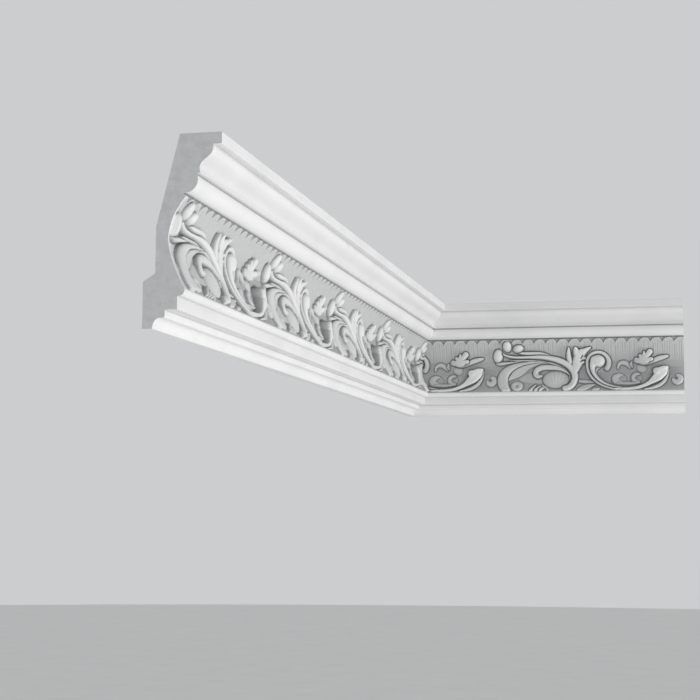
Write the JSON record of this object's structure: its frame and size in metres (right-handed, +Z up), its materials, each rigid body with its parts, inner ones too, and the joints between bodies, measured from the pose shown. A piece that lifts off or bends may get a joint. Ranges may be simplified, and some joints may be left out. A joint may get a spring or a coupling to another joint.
{
  "type": "cornice moulding",
  "caption": "Classical cornice turned round an inside corner: stepped fascia, coves and a deep frieze cove carved with scrolls, leaves, buds and a row of round-topped tongues.",
  "frame": {"origin": "middle of the side run's wall face: half way along it and half way up the flat strip that meets the wall", "axes": "-X into the wall behind the side run, +Y along the side run towards the corner, +Z up to the ceiling; the back run goes off along +X from the +Y end"},
  "size_m": [0.432, 1.219, 0.17],
  "materials": {
    "white_primer": "factory white primer on moulded rigid foam, soft satin, with grey bare foam at the cut ends"
  },
  "bodies": {
    "root": {"side_run": "white_primer", "back_run": "white_primer"}
  },
  "joints": []
}
